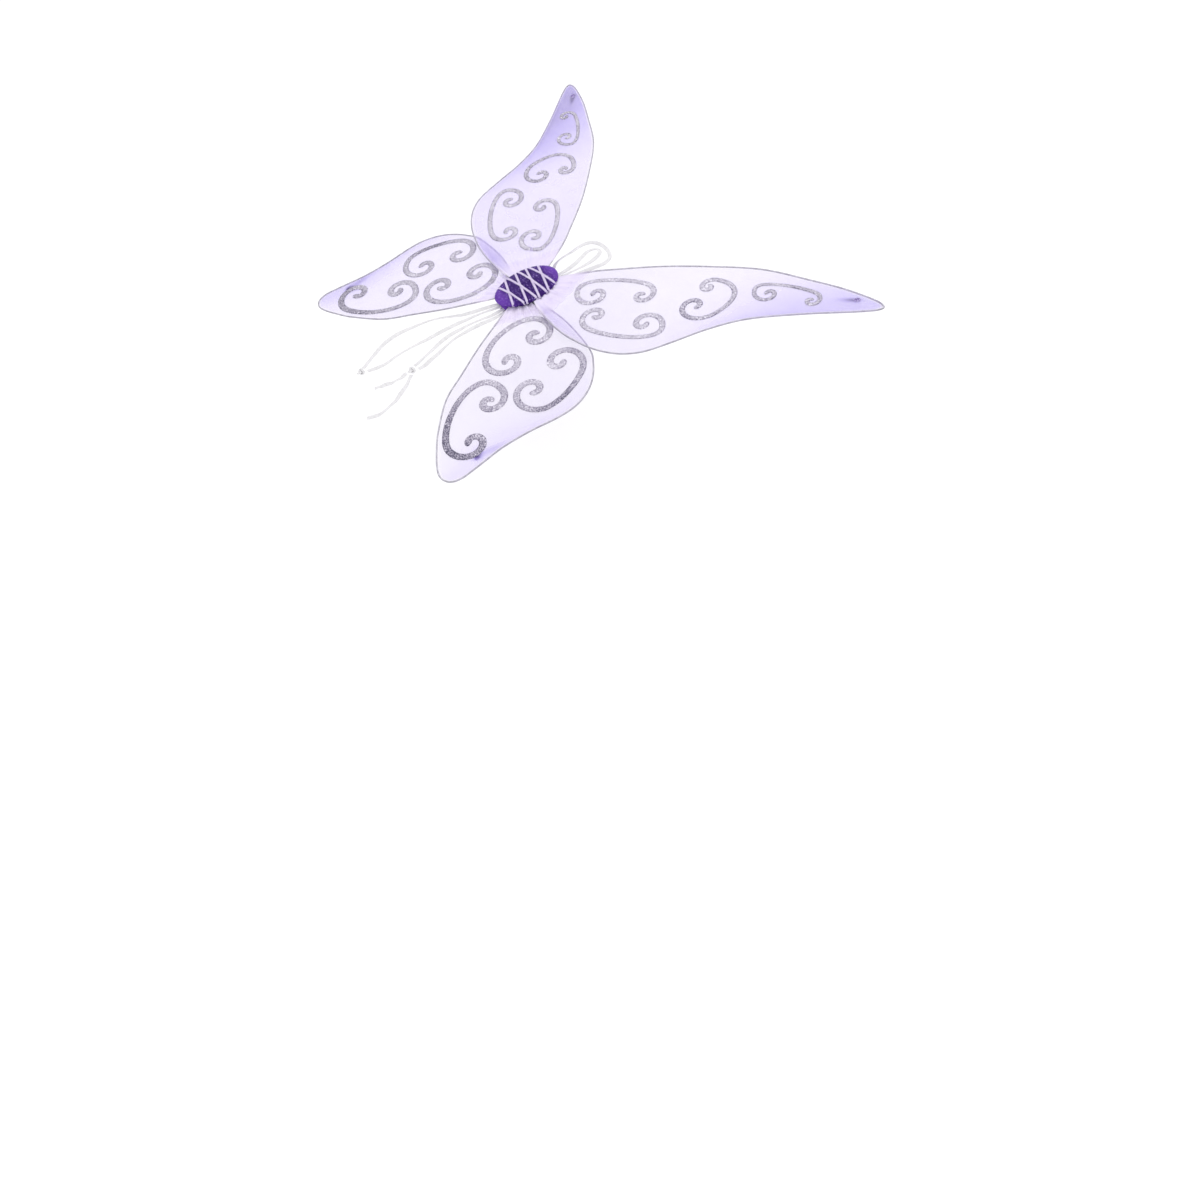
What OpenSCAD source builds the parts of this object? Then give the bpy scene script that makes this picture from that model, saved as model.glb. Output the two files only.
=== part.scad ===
// Fairy wings: four wire-framed nylon wings on a laced back pad, with two elastic strap loops.
// Frame: the origin is the centre of the pad's flat back, +Z points out of the laced front,
// +Y points from the lower wings to the upper wings, and +X is the right pair of wings.

/* [Pad] */
// Width of the oval pad
pad_w = 66; // [60:1:72]
// Length of the oval pad
pad_l = 88; // [84:1:94]
// Thickness of the felt back panel
back_t = 2; // [1.5:0.1:2]
// Height of the strap channel over the back panel
channel_h = 2.6; // [2.4:0.1:3]
// Width of the strap channel
channel_w = 28; // [28:1:32]
// Height of the foam core's upper face above the back
core_top = 16; // [16:0.5:18]
// Thickness of the card stiffener let into the core
card_t = 1; // [0.6:0.1:1.2]
// Height of the padded front cover over the core
cover_h = 4.5; // [3.5:0.5:6]

/* [Wings] */
// Diameter of the frame wire
wire_d = 2; // [1.6:0.1:2.2]
// Height of the upper wings' wires above the back, at the hinge line
upper_z = 13.5; // [13:0.1:14]
// Height of the lower wings' wires above the back, at the hinge line
lower_z = 10; // [9.5:0.1:10.4]
// Rise of the upper wings towards their tips, in degrees
upper_tilt = 2; // [1:0.1:4]
// Drop of the lower wings towards their tips, in degrees
lower_tilt = 2.4; // [1:0.1:2.6]
// Thickness of the doubled nylon as it lies in its frame
nylon_t = 0.6; // [0.4:0.1:1]
// Width of a glitter line on an upper wing
upper_glitter_w = 6.5; // [4:0.5:7]
// Width of a glitter line on a lower wing
lower_glitter_w = 8; // [5:0.5:8.5]
// Height of a glitter line
glitter_t = 0.6; // [0.4:0.1:1]
// Diameter of the stitched gather near each wing tip
gather_d = 7; // [5:0.5:8]

/* [Straps and lacing] */
// Width of the flat elastic
strap_w = 5; // [4:0.5:5.5]
// Thickness of the flat elastic
strap_t = 1; // [0.8:0.1:1.2]
// Diameter of the knot in each strap loop
knot_d = 10; // [8:0.5:11]
// Width of the lacing ribbon
lace_w = 3; // [2:0.5:3]
// Thickness of the lacing ribbon
lace_t = 0.8; // [0.6:0.1:0.8]

/* [Hidden] */

RIGHT = 1;
LEFT = -1;
OVAL_SIDES = 72;
TUBE_SIDES = 8;
SPLINE_STEPS = 3;
STRAP_STEPS = 3;
SPIRAL_STEPS = 14;
ARC_STEPS = 9;
// A spiral winds through this angle, while its radius falls by a factor of e to this power.
SPIRAL_SWEEP = 345;
SPIRAL_SHRINK = 1.8;

wire_r = wire_d / 2;
// Each wing hinges on a straight line that just clears the pad. The line's outward normal has
// this heading, and the line lies this far from the origin.
upper_heading = 18;
lower_heading = -21;
hinge_offset = 36.5;
// Gap between the fixed stems and the hinge line
stem_gap = 1;
// Clearance between the wire and the nylon's cut edge
nylon_gap = 0.1;
// Clearance of the root gathers from the pad's rim and from the stems
rim_gap = 0.3;
gather_t = 1;
card_inset = 6;
stay_length = 6;
stay_y = 34;
strap_exit_z = back_t + channel_h / 2;
// The lacing lies this far over the cover, and the crossing ribbons this far over the first ones.
lace_gap = 0.15;
lace_lift = 1;
// Further room under a ribbon over the cover's rim, shoulder and crown
lace_rim_room = 0.9;
lace_shoulder_room = 0.6;
lace_crown_room = 0.2;
// Distance that two ribbons keep from each other's eyelet at the rim
lace_pair = 1.8;
cover_rim_h = 2;
cover_shoulder_h = 3.3;
cover_shoulder_inset = 2;
cover_crown_inset = 8;

// Wire outlines of the right wings, from the hinge line's upper end round to its lower end
upper_outline = [[22.6, 52.5], [41, 80], [60.5, 102.5], [100, 145], [147, 186.5], [200, 226.5],
    [258, 252.5], [300, 269], [335, 278.5], [350, 280], [356, 275], [343, 257], [300, 211], [260, 162],
    [240, 120], [227, 75], [217, 45], [203.5, 25.5], [186, 11.5], [164, 0.5], [140, -6.5],
    [115, -11.5], [80, -13], [43, -10]];
lower_outline = [[40, -1], [90, 6], [150, 3.5], [176, -6.5], [196.5, -21], [210.5, -38.5],
    [218.5, -60], [219, -85], [215.5, -112], [214, -136], [214.5, -160], [217.5, -180], [220.5, -200],
    [222, -217], [217, -230], [204, -235.5], [188, -232], [166, -221.5], [141, -207], [101, -175.5],
    [76, -140], [51, -103], [33, -72], [21, -51]];

// Each scroll is two spirals joined by one bowed line. A row holds, for the first spiral, its
// centre, outer radius, the heading of its outer end and its turning sense, then the second
// spiral's centre, radius and heading, how far the line between them bows out, and the line's
// share of the full width.
upper_scrolls = [
    [[82.5, 57], 28.5, 202, 1, [129, 96], 21, 121, 0.26, 0.95],
    [[118, 36], 23, 294, -1, [175, 69.5], 26, 27, 0.28, 1],
    [[194, 132], 30.5, 13, -1, [178.5, 163], 15, 103, 0.56, 0.92],
    [[242, 205], 20, 195, 1, [288, 230], 14, 115, 0.23, 0.72]];
lower_scrolls = [
    [[83, -36.5], 27.5, 134, -1, [98.5, -84], 29.5, 234, 0.37, 0.97],
    [[144, -36], 33, 30, 1, [161, -83.5], 34.5, 345, 0.27, 0.94],
    [[141, -135.5], 24, 110, -1, [183, -181], 33.5, 230, 0.54, 1]];
upper_gather_at = [325, 266];
lower_gather_at = [206, -187];

// Ends of the fixed stems: where they leave the pad for the wing, and inside the core
upper_lead_stem = [[21.7, 51.3], [8, 31.5]];
upper_trail_stem = [[41.5, -10], [14, -6]];
lower_lead_stem = [[38.7, -1.2], [14, -5.5]];
lower_trail_stem = [[20.3, -49], [9, -30]];

// Eyelets of the lacing down the right rim and down the left rim
right_eyelets = [31, 14.5, -1, -18, -34.5];
left_eyelets = [32, 16.5, 1.5, -15.5, -33];

// Routes of the elastic, from the pad outwards
route_top_outer = [[-11.4, 41.9, 3.3], [-15, 46, 3.3], [-25, 54, 2], [-31, 67, 1], [-33, 84, 0.6],
    [-36, 100, 0.6], [-31, 114, 0.6], [-18, 121, 0.6], [0, 122, 0.6], [14, 117, 0.6], [20, 106, 0.6],
    [18, 90, 0.6], [14, 72, 1], [11, 56, 2], [10, 46, 3.3], [10, 40.2, 3.3]];
route_top_inner = [[-3.5, 40.2, 3.3], [-3, 48, 3.3], [-4, 60, 2], [-7, 74, 1], [-13, 88, 0.6],
    [-18, 100, 0.6], [-15, 110, 0.6], [-7, 114, 0.6], [0, 108, 0.6], [3, 96, 0.6], [4, 76, 0.6],
    [4, 60, 2], [3.5, 48, 3.3], [3.5, 40.2, 3.3]];
route_left_outer = [[-10, -41.3, 3.3], [-13, -48, 3.3], [-18.5, -60, 2], [-27, -78, 0.6], [-38, -98, 0.6],
    [-50, -118, 0.6], [-58, -140, 0.6], [-62, -165, 0.6], [-60, -188, 0.6], [-53, -207, 0.6],
    [-43, -223, 1], [-34, -235, 2.5]];
route_left_inner = [[-3.8, -41.1, 3.3], [-6, -48, 3.3], [-11, -62, 2], [-17, -78, 0.6], [-20, -96, 0.6],
    [-22, -125, 0.6], [-24, -155, 0.6], [-24, -185, 0.6], [-22, -208, 0.6], [-23, -222, 1],
    [-25, -233, 2.5]];
route_right_inner = [[3.5, -40.2, 3.3], [3, -48, 3.3], [0, -62, 2], [-5, -80, 0.6], [-8, -100, 0.6],
    [-7, -120, 0.6], [-3, -140, 0.6], [4, -158, 0.6], [9, -172, 1], [12, -180, 2.5]];
route_right_outer = [[10, -40.2, 3.3], [10, -48, 3.3], [8, -62, 2], [4, -80, 0.6], [2, -100, 0.6],
    [4, -118, 0.6], [9, -136, 0.6], [15, -154, 0.6], [20, -168, 1], [21.5, -178, 2.5]];
route_tail_short = [[17, -194, 2.5], [18, -202, 1], [18, -212, 0.6], [15, -224, 0.6], [10, -238, 0.6]];
route_tail_long = [[24.5, -190.5, 2.5], [32, -199, 1], [42, -212, 0.6], [51, -227, 0.6],
    [57, -243, 0.6], [57, -256, 0.6], [52, -267, 0.6]];
knot_left_at = [-29, -240.5];
knot_right_at = [18, -186.5];

// Curves

// Point on the smooth curve through four points, between the middle two
function smooth(a, b, c, d, t) =
    0.5 * (2 * b + (c - a) * t + (2 * a - 5 * b + 4 * c - d) * t * t + (3 * b - a - 3 * c + d) * t * t * t);

// Smooth open curve through a list of points
function spline(points, steps) = [
    for (i = [0 : len(points) - 2], k = [0 : steps - 1])
        smooth(points[max(i - 1, 0)], points[i], points[i + 1], points[min(i + 2, len(points) - 1)], k / steps),
    points[len(points) - 1]];

function unit(v) = v / norm(v);

// Direction of a curve at its point i
function heading(points, i) =
    unit(points[min(i + 1, len(points) - 1)] - points[max(i - 1, 0)]);

// A flat curve moved sideways, to its left when distance is positive
function beside(points, distance) = [
    for (i = [0 : len(points) - 1])
        let (d = heading(points, i))
        points[i] + distance * [-d[1], d[0]]];

function reversed(points) = [for (i = [len(points) - 1 : -1 : 0]) points[i]];

// Spiral from its outer end inwards: its radius shrinks by the same share at every step
function spiral(centre, radius, start, sense) = [
    for (i = [0 : SPIRAL_STEPS])
        let (t = i / SPIRAL_STEPS)
        let (a = start + sense * SPIRAL_SWEEP * t)
        centre + radius * exp(-SPIRAL_SHRINK * t) * [cos(a), sin(a)]];

// Direction in which a spiral sets off from its outer end
function inwards(start, sense) =
    unit(sense * [-sin(start), cos(start)] - SPIRAL_SHRINK / (SPIRAL_SWEEP * PI / 180) * [cos(start), sin(start)]);

function bowed(a, b, c, d, t) =
    pow(1 - t, 3) * a + 3 * pow(1 - t, 2) * t * b + 3 * (1 - t) * t * t * c + pow(t, 3) * d;

// Centre line of one scroll: out of the first spiral, along the bowed line and into the second
function scroll_line(s) =
    let (first = spiral(s[0], s[1], s[2], s[3]))
    let (second = spiral(s[4], s[5], s[6], -s[3]))
    let (reach = s[7] * norm(second[0] - first[0]))
    let (leave = first[0] - reach * inwards(s[2], s[3]))
    let (arrive = second[0] - reach * inwards(s[6], -s[3]))
    concat(
        reversed(first),
        [for (i = [1 : ARC_STEPS]) bowed(first[0], leave, arrive, second[0], i / (ARC_STEPS + 1))],
        second);

// Solids along a curve

// Closed tube whose rings are given one after the other
module skin_rings(rings) {
    sides = len(rings[0]);
    last = len(rings) - 1;
    points = [for (ring = rings) for (p = ring) p];
    walls = [
        for (i = [0 : last - 1], j = [0 : sides - 1])
            [i * sides + j, (i + 1) * sides + j,
             (i + 1) * sides + (j + 1) % sides, i * sides + (j + 1) % sides]];
    caps = [[for (j = [0 : sides - 1]) j], [for (j = [sides - 1 : -1 : 0]) last * sides + j]];
    polyhedron(points, concat(walls, caps), convexity = 10);
}

// Round wire along a flat curve
module wire_along(points) {
    skin_rings([
        for (i = [0 : len(points) - 1])
            let (d = heading(points, i))
            [for (j = [0 : TUBE_SIDES - 1])
                let (a = 360 * j / TUBE_SIDES)
                [points[i][0] + wire_r * cos(a) * d[1], points[i][1] - wire_r * cos(a) * d[0],
                 wire_r * sin(a)]]]);
}

// Flat ribbon with rounded edges along a curve in space, lying flat
module ribbon_along(points, width, thickness) {
    half_w = width / 2;
    half_t = thickness / 2;
    section = [[half_w, half_t / 2], [half_w * 0.8, half_t], [-half_w * 0.8, half_t], [-half_w, half_t / 2],
        [-half_w, -half_t / 2], [-half_w * 0.8, -half_t], [half_w * 0.8, -half_t], [half_w, -half_t / 2]];
    skin_rings([
        for (i = [0 : len(points) - 1])
            let (d = heading(points, i))
            let (across = unit([d[1], -d[0], 0]))
            let (up = cross(across, d))
            [for (s = section) points[i] + s[0] * across + s[1] * up]]);
}

module elastic(route) {
    color("white") ribbon_along(spline(route, STRAP_STEPS), strap_w, strap_t);
}

// Placing

module sided(side) {
    mirror([side == LEFT ? 1 : 0, 0, 0]) children();
}

// Puts a flat piece, drawn as if the wing lay level, into an upper wing's sloping plane
module on_upper(side) {
    sided(side)
        rotate(upper_heading)
            translate([hinge_offset, 0, upper_z])
                rotate([0, -upper_tilt, 0])
                    translate([-hinge_offset, 0, 0])
                        rotate(-upper_heading)
                            children();
}

module on_lower(side) {
    sided(side)
        rotate(lower_heading)
            translate([hinge_offset, 0, lower_z])
                rotate([0, lower_tilt, 0])
                    translate([-hinge_offset, 0, 0])
                        rotate(-lower_heading)
                            children();
}

// Pad

module oval(inset) {
    polygon([
        for (i = [0 : OVAL_SIDES - 1])
            let (a = 360 * i / OVAL_SIDES)
            [(pad_w / 2 - inset) * cos(a), (pad_l / 2 - inset) * sin(a)]]);
}

module pad_back() {
    color("indigo") linear_extrude(back_t) oval(0);
}

module pad_core() {
    color("indigo")
        difference() {
            translate([0, 0, back_t]) linear_extrude(core_top - back_t) oval(0);
            translate([-channel_w / 2, -pad_l, 0]) cube([channel_w, 2 * pad_l, back_t + channel_h]);
            translate([0, 0, core_top - card_t]) linear_extrude(2 * card_t) oval(card_inset);
            for (side = [RIGHT, LEFT]) {
                sided(side) stem_rod(upper_lead_stem, upper_z);
                sided(side) stem_rod(upper_trail_stem, upper_z);
                sided(side) stem_rod(lower_lead_stem, lower_z);
                sided(side) stem_rod(lower_trail_stem, lower_z);
            }
        }
}

module pad_card() {
    color("gray") translate([0, 0, core_top - card_t]) linear_extrude(card_t) oval(card_inset);
}

module pad_cover() {
    color("indigo")
        translate([0, 0, core_top])
            hull() {
                linear_extrude(cover_rim_h) oval(0);
                linear_extrude(cover_shoulder_h) oval(cover_shoulder_inset);
                linear_extrude(cover_h) oval(cover_crown_inset);
            }
}

module strap_stay(end) {
    color("indigo")
        translate([-channel_w / 2, end > 0 ? stay_y : -stay_y - stay_length, back_t])
            cube([channel_w, stay_length, channel_h]);
}

// Wire stems, which run from inside the core to the hinge line

module stem_rod(ends, height) {
    along = unit(ends[0] - ends[1]);
    length = norm(ends[0] - ends[1]) - stem_gap;
    translate([ends[1][0], ends[1][1], height])
        rotate([0, 90, atan2(along[1], along[0])])
            cylinder(h = length, r = wire_r, $fn = 32);
}

module stem(ends, height, side) {
    color("silver") sided(side) stem_rod(ends, height);
}

// Nylon gathered between the pad's rim and the hinge line, from one stem to the other

// Outer and inner end of a stem's edge of the nylon, which lies to the stem's left or right
function beside_stem(ends, to_left) =
    let (along = unit(ends[0] - ends[1]))
    let (out = (to_left ? 1 : -1) * (wire_r + rim_gap) * [-along[1], along[0]])
    [ends[0] - stem_gap * along + out, ends[1] + out];

module root_gather(lead_stem, trail_stem, height, side) {
    lead = beside_stem(lead_stem, false);
    trail = beside_stem(trail_stem, true);
    color("plum")
        sided(side)
            translate([0, 0, height - gather_t / 2])
                linear_extrude(gather_t)
                    difference() {
                        polygon([lead[1], lead[0], trail[0], trail[1]]);
                        oval(-rim_gap);
                    }
}

// Lacing over the padded front

function rim_point(level, side) = [side * pad_w / 2 * sqrt(1 - pow(2 * level / pad_l, 2)), level];

module lace(from, to, lift) {
    rim = cover_rim_h + lace_rim_room;
    shoulder = cover_shoulder_h + lace_shoulder_room;
    crown = cover_h + lace_crown_room;
    // Share of the way across, and height over the core
    profile = [[0, rim], [0.05, shoulder], [0.15, crown], [0.35, crown], [0.5, crown], [0.65, crown],
        [0.85, crown], [0.95, shoulder], [1, rim]];
    color("lavender")
        ribbon_along([
            for (row = profile)
                let (p = from + row[0] * (to - from))
                [p[0], p[1], core_top + lace_gap + lace_t / 2 + row[1] + lift * sin(180 * row[0])]],
            lace_w, lace_t);
}

module lacing_under() {
    for (k = [0 : len(left_eyelets) - 2])
        lace(rim_point(left_eyelets[k] - lace_pair, LEFT),
            rim_point(right_eyelets[k + 1] + lace_pair, RIGHT), 0);
}

module lacing_over() {
    for (k = [0 : len(right_eyelets) - 2])
        lace(rim_point(right_eyelets[k] - lace_pair, RIGHT),
            rim_point(left_eyelets[k + 1] + lace_pair, LEFT), lace_lift);
}

// Wings

module wing_frame(outline) {
    color("darkgray") wire_along(spline(outline, SPLINE_STEPS));
}

module wing_nylon(outline) {
    color("thistle")
        translate([0, 0, -nylon_t / 2])
            linear_extrude(nylon_t)
                polygon(beside(spline(outline, SPLINE_STEPS), -wire_r - nylon_gap));
}

module glitter_scroll(s, full_width) {
    line = scroll_line(s);
    half_w = full_width * s[8] / 2;
    color("slategray")
        translate([0, 0, nylon_t / 2])
            linear_extrude(glitter_t)
                polygon(concat(beside(line, half_w), reversed(beside(line, -half_w))));
}

// Stitched gather: on the front of an upper wing, and behind a lower wing's glitter
module tip_gather(at, below) {
    color("mediumpurple")
        translate([at[0], at[1], below ? -nylon_t / 2 - gather_t : nylon_t / 2])
            cylinder(h = gather_t, d = gather_d, $fn = 32);
}

// Straps

module knot(at) {
    color("white") translate([at[0], at[1], knot_d / 2]) sphere(d = knot_d, $fn = 32);
}

pad_back();
pad_core();
pad_card();
pad_cover();
strap_stay(1);  // strap_stay_top
strap_stay(-1);  // strap_stay_bottom
lacing_under();
lacing_over();
stem(upper_lead_stem, upper_z, RIGHT);  // stem_upper_right_lead
stem(upper_trail_stem, upper_z, RIGHT);  // stem_upper_right_trail
stem(upper_lead_stem, upper_z, LEFT);  // stem_upper_left_lead
stem(upper_trail_stem, upper_z, LEFT);  // stem_upper_left_trail
stem(lower_lead_stem, lower_z, RIGHT);  // stem_lower_right_lead
stem(lower_trail_stem, lower_z, RIGHT);  // stem_lower_right_trail
stem(lower_lead_stem, lower_z, LEFT);  // stem_lower_left_lead
stem(lower_trail_stem, lower_z, LEFT);  // stem_lower_left_trail
root_gather(upper_lead_stem, upper_trail_stem, upper_z, RIGHT);  // root_gather_upper_right
root_gather(upper_lead_stem, upper_trail_stem, upper_z, LEFT);  // root_gather_upper_left
root_gather(lower_lead_stem, lower_trail_stem, lower_z, RIGHT);  // root_gather_lower_right
root_gather(lower_lead_stem, lower_trail_stem, lower_z, LEFT);  // root_gather_lower_left
on_upper(RIGHT) wing_frame(upper_outline);  // frame_upper_right
on_upper(LEFT) wing_frame(upper_outline);  // frame_upper_left
on_lower(RIGHT) wing_frame(lower_outline);  // frame_lower_right
on_lower(LEFT) wing_frame(lower_outline);  // frame_lower_left
on_upper(RIGHT) wing_nylon(upper_outline);  // nylon_upper_right
on_upper(LEFT) wing_nylon(upper_outline);  // nylon_upper_left
on_lower(RIGHT) wing_nylon(lower_outline);  // nylon_lower_right
on_lower(LEFT) wing_nylon(lower_outline);  // nylon_lower_left
on_upper(RIGHT) tip_gather(upper_gather_at, false);  // tip_gather_upper_right
on_upper(LEFT) tip_gather(upper_gather_at, false);  // tip_gather_upper_left
on_lower(RIGHT) tip_gather(lower_gather_at, true);  // tip_gather_lower_right
on_lower(LEFT) tip_gather(lower_gather_at, true);  // tip_gather_lower_left
for (k = [1 : len(upper_scrolls)]) {
    on_upper(RIGHT) glitter_scroll(upper_scrolls[k - 1], upper_glitter_w);
    on_upper(LEFT) glitter_scroll(upper_scrolls[k - 1], upper_glitter_w);
}
for (k = [1 : len(lower_scrolls)]) {
    on_lower(RIGHT) glitter_scroll(lower_scrolls[k - 1], lower_glitter_w);
    on_lower(LEFT) glitter_scroll(lower_scrolls[k - 1], lower_glitter_w);
}
elastic(route_top_outer);  // strap_top_outer
elastic(route_top_inner);  // strap_top_inner
elastic(route_left_outer);  // strap_left_outer
elastic(route_left_inner);  // strap_left_inner
elastic(route_right_inner);  // strap_right_inner
elastic(route_right_outer);  // strap_right_outer
elastic(route_tail_short);  // strap_tail_short
elastic(route_tail_long);  // strap_tail_long
knot(knot_left_at);  // knot_left
knot(knot_right_at);  // knot_right
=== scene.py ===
"""Fairy wings: sheer lilac nylon on wire frames, glitter scrolls, a laced satin pad and elastic straps."""
import math

import bmesh
import bpy
import numpy as np
from mathutils import Matrix, Vector


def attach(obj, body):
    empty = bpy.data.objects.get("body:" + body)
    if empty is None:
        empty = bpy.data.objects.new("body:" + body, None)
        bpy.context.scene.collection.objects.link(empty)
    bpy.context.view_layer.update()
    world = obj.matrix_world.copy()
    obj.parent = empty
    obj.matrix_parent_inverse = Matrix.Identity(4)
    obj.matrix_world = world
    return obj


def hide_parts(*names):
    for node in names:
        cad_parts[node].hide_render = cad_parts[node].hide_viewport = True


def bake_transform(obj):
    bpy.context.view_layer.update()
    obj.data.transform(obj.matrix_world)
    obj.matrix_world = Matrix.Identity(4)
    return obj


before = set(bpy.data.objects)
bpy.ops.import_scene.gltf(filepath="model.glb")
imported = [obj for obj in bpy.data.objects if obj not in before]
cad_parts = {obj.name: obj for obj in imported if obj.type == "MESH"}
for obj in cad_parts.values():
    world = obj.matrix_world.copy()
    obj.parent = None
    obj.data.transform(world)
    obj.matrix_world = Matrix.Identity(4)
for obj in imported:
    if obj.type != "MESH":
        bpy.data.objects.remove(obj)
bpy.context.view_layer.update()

MM = 0.001
RIGHT = 1
LEFT = -1
SIDES = {"right": RIGHT, "left": LEFT}
TAU = 2 * math.pi


# Camera. Its place and direction were solved from the wings' outlines, with the lens assumed.

CAMERA_AT = Vector((0.9588, -0.3045, 0.7464))
CAMERA_LOOK = Vector((-0.5461, 0.1427, -0.8255))
CAMERA_RIGHT = Vector((0.5132, 0.8359, -0.1949))
CAMERA_LENS = 27


def add_camera():
    """A camera at the photograph's viewing angle, rolled so that the pad leans to the right."""
    data = bpy.data.cameras.new("camera")
    data.lens = CAMERA_LENS
    data.clip_start = 0.01
    camera = bpy.data.objects.new("camera", data)
    back = -CAMERA_LOOK.normalized()
    up = back.cross(CAMERA_RIGHT).normalized()
    right = up.cross(back)
    camera.matrix_world = Matrix((
        (right.x, up.x, back.x, CAMERA_AT.x),
        (right.y, up.y, back.y, CAMERA_AT.y),
        (right.z, up.z, back.z, CAMERA_AT.z),
        (0, 0, 0, 1)))
    bpy.context.scene.collection.objects.link(camera)
    bpy.context.scene.camera = camera


# Sizes, in millimetres as on the drawing, and outlines of the right wings

PAD_HALF = np.array([33.0, 44.0])
WIRE_R = 1.0
HINGE_OFFSET = 36.5
UPPER = {"heading": 18, "z": 13.5, "tilt": 2.0, "apex": 10, "width": 6.5}
LOWER = {"heading": -21, "z": 10.0, "tilt": -2.4, "apex": 14, "width": 8.0}
UPPER["outline"] = [
    (22.6, 52.5), (41, 80), (60.5, 102.5), (100, 145), (147, 186.5), (200, 226.5), (258, 252.5),
    (300, 269), (335, 278.5), (350, 280), (356, 275), (343, 257), (300, 211), (260, 162),
    (240, 120), (227, 75), (217, 45), (203.5, 25.5), (186, 11.5), (164, 0.5), (140, -6.5),
    (115, -11.5), (80, -13), (43, -10)]
LOWER["outline"] = [
    (40, -1), (90, 6), (150, 3.5), (176, -6.5), (196.5, -21), (210.5, -38.5), (218.5, -60), (219, -85),
    (215.5, -112), (214, -136), (214.5, -160), (217.5, -180), (220.5, -200), (222, -217),
    (217, -230), (204, -235.5), (188, -232), (166, -221.5), (141, -207), (101, -175.5),
    (76, -140), (51, -103), (33, -72), (21, -51)]
UPPER["stems"] = [[(8, 31.5), (15.3, 41.8)], [(30, -8), (14, -6)]]
LOWER["stems"] = [[(14, -5.5), (26, -3.5)], [(15, -40), (9, -30)]]
SPIRAL_SWEEP = 345
SPIRAL_SHRINK = 1.8
# Centre, radius, heading and sense of one spiral, then the other spiral, the bow between them and
# the line's share of the full width. All but the sense and the share are a fitting program's result,
# rounded; they weren't chosen by hand.
UPPER["scrolls"] = [
    ((82.5, 57), 28.5, 202, 1, (129, 96), 21, 121, 0.26, 0.95),
    ((118, 36), 23, 294, -1, (175, 69.5), 26, 27, 0.28, 1),
    ((194, 132), 30.5, 13, -1, (178.5, 163), 15, 103, 0.56, 0.92),
    ((242, 205), 20, 195, 1, (288, 230), 14, 115, 0.23, 0.72)]
LOWER["scrolls"] = [
    ((83, -36.5), 27.5, 134, -1, (98.5, -84), 29.5, 234, 0.37, 0.97),
    ((144, -36), 33, 30, 1, (161, -83.5), 34.5, 345, 0.27, 0.94),
    ((141, -135.5), 24, 110, -1, (183, -181), 33.5, 230, 0.54, 1)]
UPPER["gather"] = (325, 266)
LOWER["gather"] = (206, -187)
WINGS = {"upper": UPPER, "lower": LOWER}

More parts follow.
